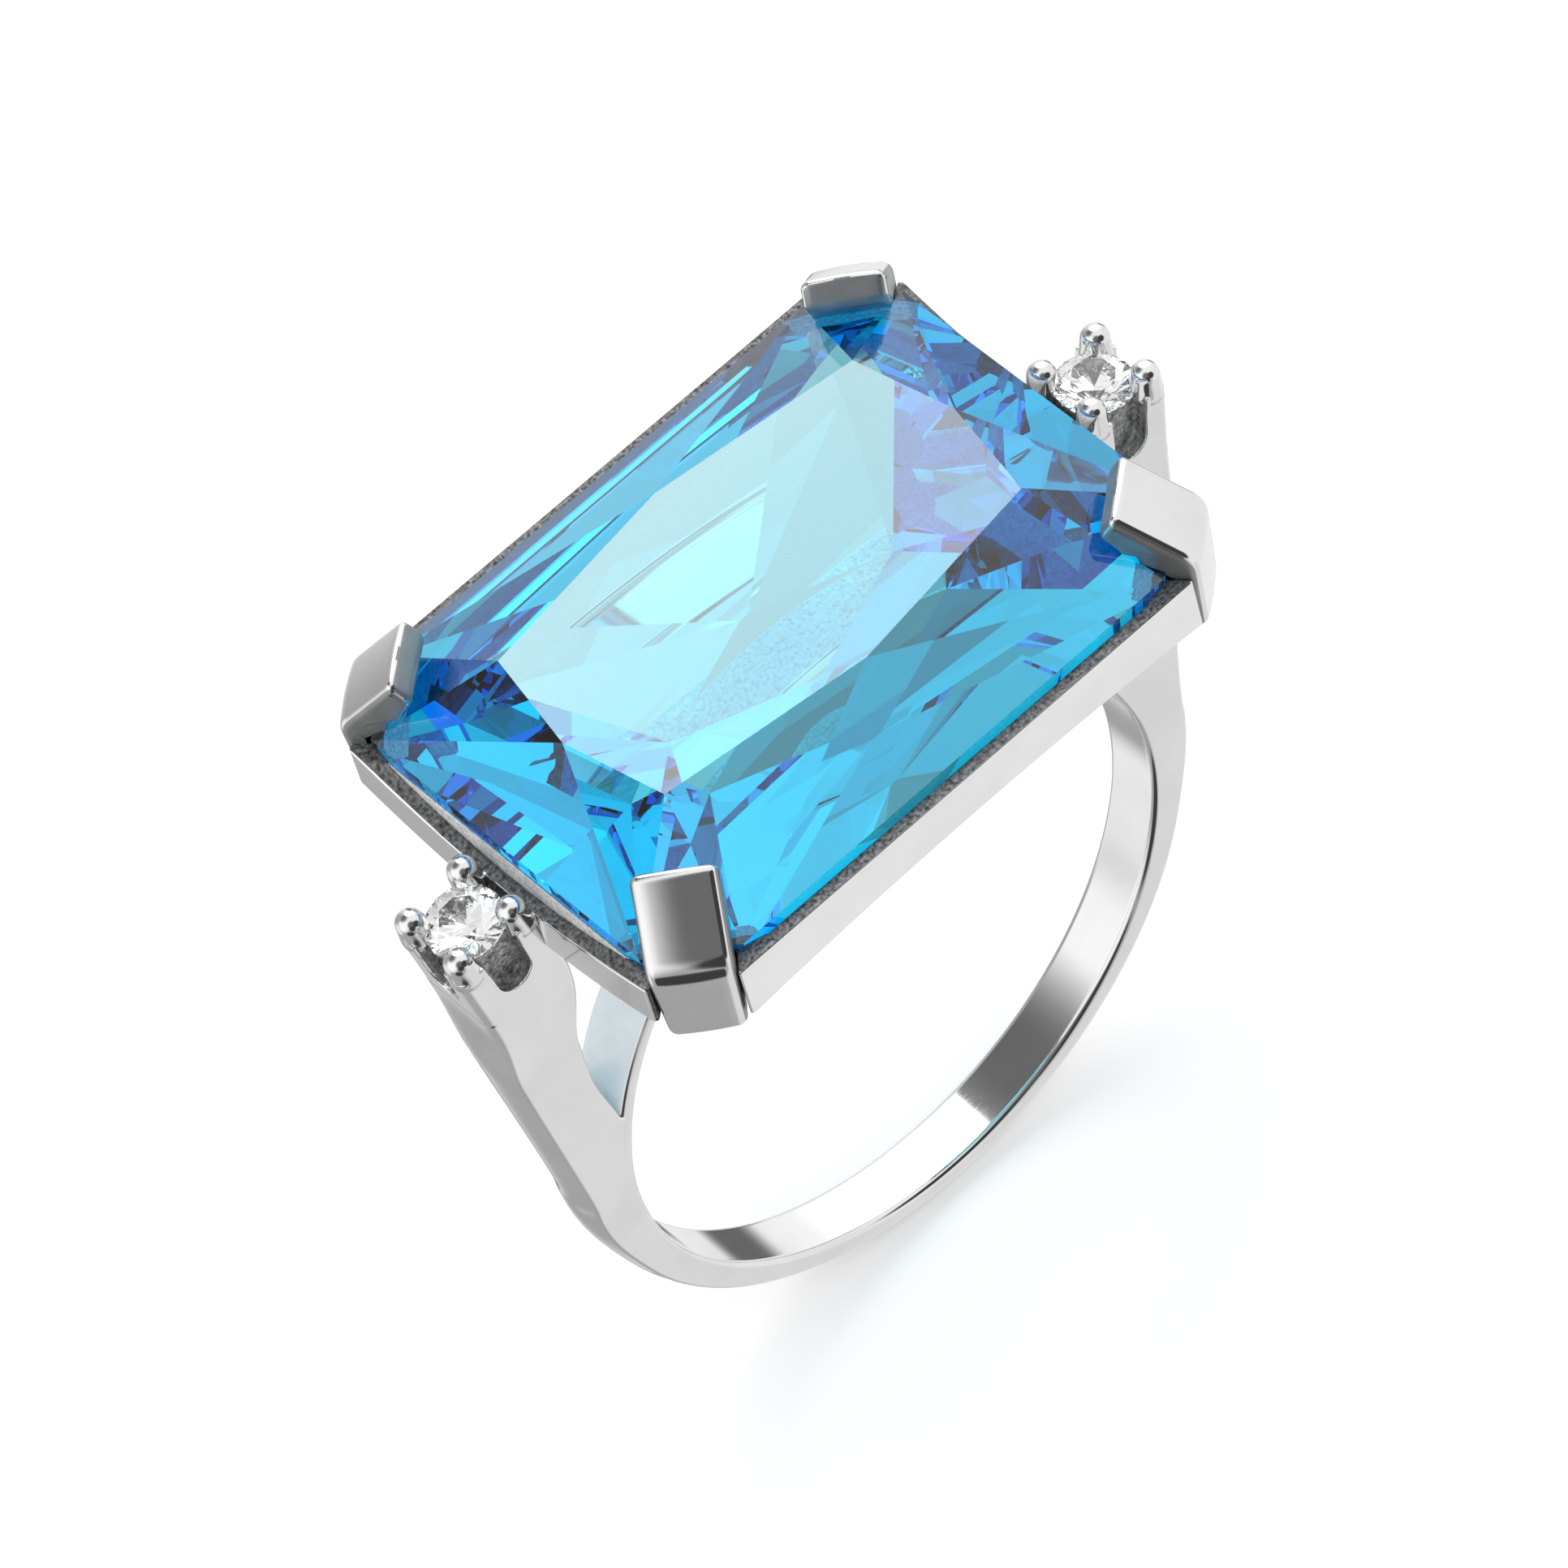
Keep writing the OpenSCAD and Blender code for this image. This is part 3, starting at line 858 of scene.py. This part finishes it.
def build_accent_stone(side, name):
    """A small round brilliant in its head."""
    points = [tuple(ACCENT_R * c for c in p) for p in brilliant_points()]
    made = hull_object(f"accent_stone_{name}_look", points)
    put(made, head_place(side))
    shade(made, False)
    return finish_piece(made, f"accent_stone_{name}", [CLEAR_STONE])


# ---------------------------------------------------------------- assembly

build_shank()
build_gallery()
build_seat()
for side_x, across_name in ((-1, "left"), (1, "right")):
    build_shoulder(side_x, across_name)
    build_cup(side_x, across_name)
    build_accent_stone(side_x, across_name)
    for corner in range(4):
        build_prong(side_x, across_name, corner)
    for side_y, depth_name in ((-1, "front"), (1, "rear")):
        build_claw(side_x, side_y, f"claw_{depth_name}_{across_name}")
build_main_stone()


# ---------------------------------------------------------------- floor, light and camera


def build_floor():
    """A pale matt floor under the hoop, left out of what the metal and the stones see."""
    size = 3.0
    floor = mesh_object(
        "floor", [(-size, -size, 0), (size, -size, 0), (size, size, 0), (-size, size, 0)], [(0, 1, 2, 3)]
    )
    floor.location.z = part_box("shank")[0].z
    material, tree, shader = new_material("floor_paint")
    paint = tint(tree, noise(tree, 3), (0.90, 0.90, 0.90), (0.93, 0.93, 0.93))
    tree.links.new(paint, shader.inputs["Base Color"])
    shader.inputs["Roughness"].default_value = 0.9
    shader.inputs["Specular IOR Level"].default_value = 0
    floor.data.materials.append(material)
    floor.visible_glossy = False
    floor.visible_transmission = False


def lobe(tree, direction, wide, narrow):
    """How near the view direction is to a given one: 0 outside the wide angle, 1 inside the narrow one."""
    place = tree.nodes.new("ShaderNodeTexCoord")
    dot = tree.nodes.new("ShaderNodeVectorMath")
    dot.operation = "DOT_PRODUCT"
    dot.inputs[1].default_value = Vector(direction).normalized()
    tree.links.new(place.outputs["Generated"], dot.inputs[0])
    node = tree.nodes.new("ShaderNodeMapRange")
    node.interpolation_type = "SMOOTHSTEP"
    node.inputs["From Min"].default_value = math.cos(math.radians(wide))
    node.inputs["From Max"].default_value = math.cos(math.radians(narrow))
    tree.links.new(dot.outputs["Value"], node.inputs["Value"])
    return node.outputs["Result"]


def connect(tree, source, target):
    """Sets a socket from a number or from another socket."""
    if isinstance(source, (int, float)):
        target.default_value = source
    else:
        tree.links.new(source, target)


def level(tree, base, share, value):
    """Moves the light level toward a value by a share."""
    node = tree.nodes.new("ShaderNodeMix")
    node.data_type = "FLOAT"
    connect(tree, base, node.inputs["A"])
    connect(tree, value, node.inputs["B"])
    tree.links.new(share, node.inputs["Factor"])
    return node.outputs["Result"]


def vector_math(tree, operation, first, second):
    """One vector operation; the second input is a plain vector or a socket."""
    node = tree.nodes.new("ShaderNodeVectorMath")
    node.operation = operation
    tree.links.new(first, node.inputs[0])
    if isinstance(second, tuple):
        node.inputs[1].default_value = second
    else:
        tree.links.new(second, node.inputs[1])
    return node


def faces_light(tree, plus, minus):
    """Light from the six faces of a box, blended smoothly over the directions between them."""
    direction = tree.nodes.new("ShaderNodeTexCoord").outputs["Generated"]
    total = tree.nodes.new("ShaderNodeMath")
    for i, (sign, values) in enumerate(((1, plus), (-1, minus))):
        turned = vector_math(tree, "MULTIPLY", direction, (sign, sign, sign)).outputs["Vector"]
        part = vector_math(tree, "MAXIMUM", turned, (0, 0, 0)).outputs["Vector"]
        square = vector_math(tree, "MULTIPLY", part, part).outputs["Vector"]
        tree.links.new(vector_math(tree, "DOT_PRODUCT", square, values).outputs["Value"], total.inputs[i])
    return total.outputs["Value"]


# Soft lights and dark cards of the studio: direction, outer and inner angle, brightness.
STUDIO = (
    ((1, 0, 0), 102, 68, 0.92),
    ((0, 0, 1), 75, 40, 1.0),
    ((0.27, -0.5, -0.82), 38, 18, 0.80),
    ((-0.95, 0.05, 0.35), 50, 22, 1.15),
    ((-0.69, 0.53, -0.49), 30, 14, 0.95),
    ((-0.30, 0.53, 0.79), 36, 2, 0.16),
    ((0.75, 0.53, 0.39), 32, 6, 1.15),
    ((0.52, 0.53, 0.67), 33, 29, 1.25),
    ((0.80, 0.53, -0.27), 14, 5, 0.15),
    ((-0.30, -0.72, 0.62), 36, 18, 0.16),
    ((0.25, -0.85, 0.45), 28, 18, 0.05),
    ((-0.40, -0.90, 0.15), 24, 17, 0.05),
    ((-0.62, -0.58, -0.53), 24, 16, 0.05),
    ((0.288, 0.530, -0.798), 13, 5, 0.12),
    ((0.29, 0.53, 0.80), 17, 14, 3.9),
)
FLOOR_LIGHT = 1.22

# The same studio as it comes through the stones, much blurred: brightness from +x, +y, +z and from
# -x, -y, -z, with two soft lights over that.
THROUGH_PLUS = (1.42, 0.10, 0.85)
THROUGH_MINUS = (0.97, 1.30, 0.50)
THROUGH_LIGHTS = (
    ((0.896, -0.069, 0.438), 38, 24, 1.15),
    ((0.180, -0.737, 0.652), 38, 24, 1.8),
)


def build_world():
    """Lights and cards as the metal and the stones see them; the floor and the camera see an even white."""
    world = bpy.data.worlds.new("studio")
    bpy.context.scene.world = world
    world.use_nodes = True
    tree = world.node_tree
    total = 0.42
    for direction, wide, narrow, value in STUDIO:
        total = level(tree, total, lobe(tree, direction, wide, narrow), value)
    through = faces_light(tree, THROUGH_PLUS, THROUGH_MINUS)
    for direction, wide, narrow, value in THROUGH_LIGHTS:
        through = level(tree, through, lobe(tree, direction, wide, narrow), value)
    path = tree.nodes.new("ShaderNodeLightPath")
    total = level(tree, total, path.outputs["Is Transmission Ray"], through)
    for seen_by in ("Is Diffuse Ray", "Is Camera Ray"):
        total = level(tree, total, path.outputs[seen_by], FLOOR_LIGHT)
    tree.links.new(total, tree.nodes["Background"].inputs["Strength"])
    tree.nodes["Background"].inputs["Color"].default_value = (1, 1, 1, 1)


def build_light():
    """A soft lamp overhead for the shadow; polished metal and stones don't reflect it."""
    light = bpy.data.lights.new("overhead", "AREA")
    light.shape = "DISK"
    light.size = 0.1
    light.energy = 0.03
    lamp = bpy.data.objects.new("overhead", light)
    lamp.location = (0.0, 0.05, 0.2)
    lamp.rotation_mode = "QUATERNION"
    lamp.rotation_quaternion = (-lamp.location).to_track_quat("-Z", "Y")
    lamp.visible_glossy = False
    lamp.visible_transmission = False
    bpy.context.scene.collection.objects.link(lamp)


def build_camera():
    """The camera in front of the ring, above it and rolled; sizes in millimetres until it is placed."""
    azimuth, elevation, roll = (math.radians(a) for a in (-28.51, 52.87, -17.33))
    flat = math.cos(elevation)
    back = Vector((math.sin(azimuth) * flat, -math.cos(azimuth) * flat, math.sin(elevation)))
    level_right = Vector((math.cos(azimuth), math.sin(azimuth), 0))
    level_up = back.cross(level_right)
    right = math.cos(roll) * level_right + math.sin(roll) * level_up
    up = back.cross(right)
    aim = Vector((0, 0, 5.088)) - 1.357 * right + 1.241 * up
    camera_data = bpy.data.cameras.new("camera")
    camera_data.sensor_width = 36
    camera_data.lens = 241
    camera_data.clip_start = 0.005
    camera = bpy.data.objects.new("camera", camera_data)
    turn = Matrix((right, up, back)).transposed().to_4x4()
    camera.matrix_world = Matrix.Translation((aim + 255.6 * back) * MM) @ turn
    bpy.context.scene.collection.objects.link(camera)
    bpy.context.scene.camera = camera


build_floor()
build_world()
build_light()
build_camera()

scene = bpy.context.scene
scene.view_settings.view_transform = "Standard"
scene.cycles.max_bounces = 24
scene.cycles.glossy_bounces = 16
scene.cycles.transmission_bounces = 24
scene.cycles.blur_glossy = 0
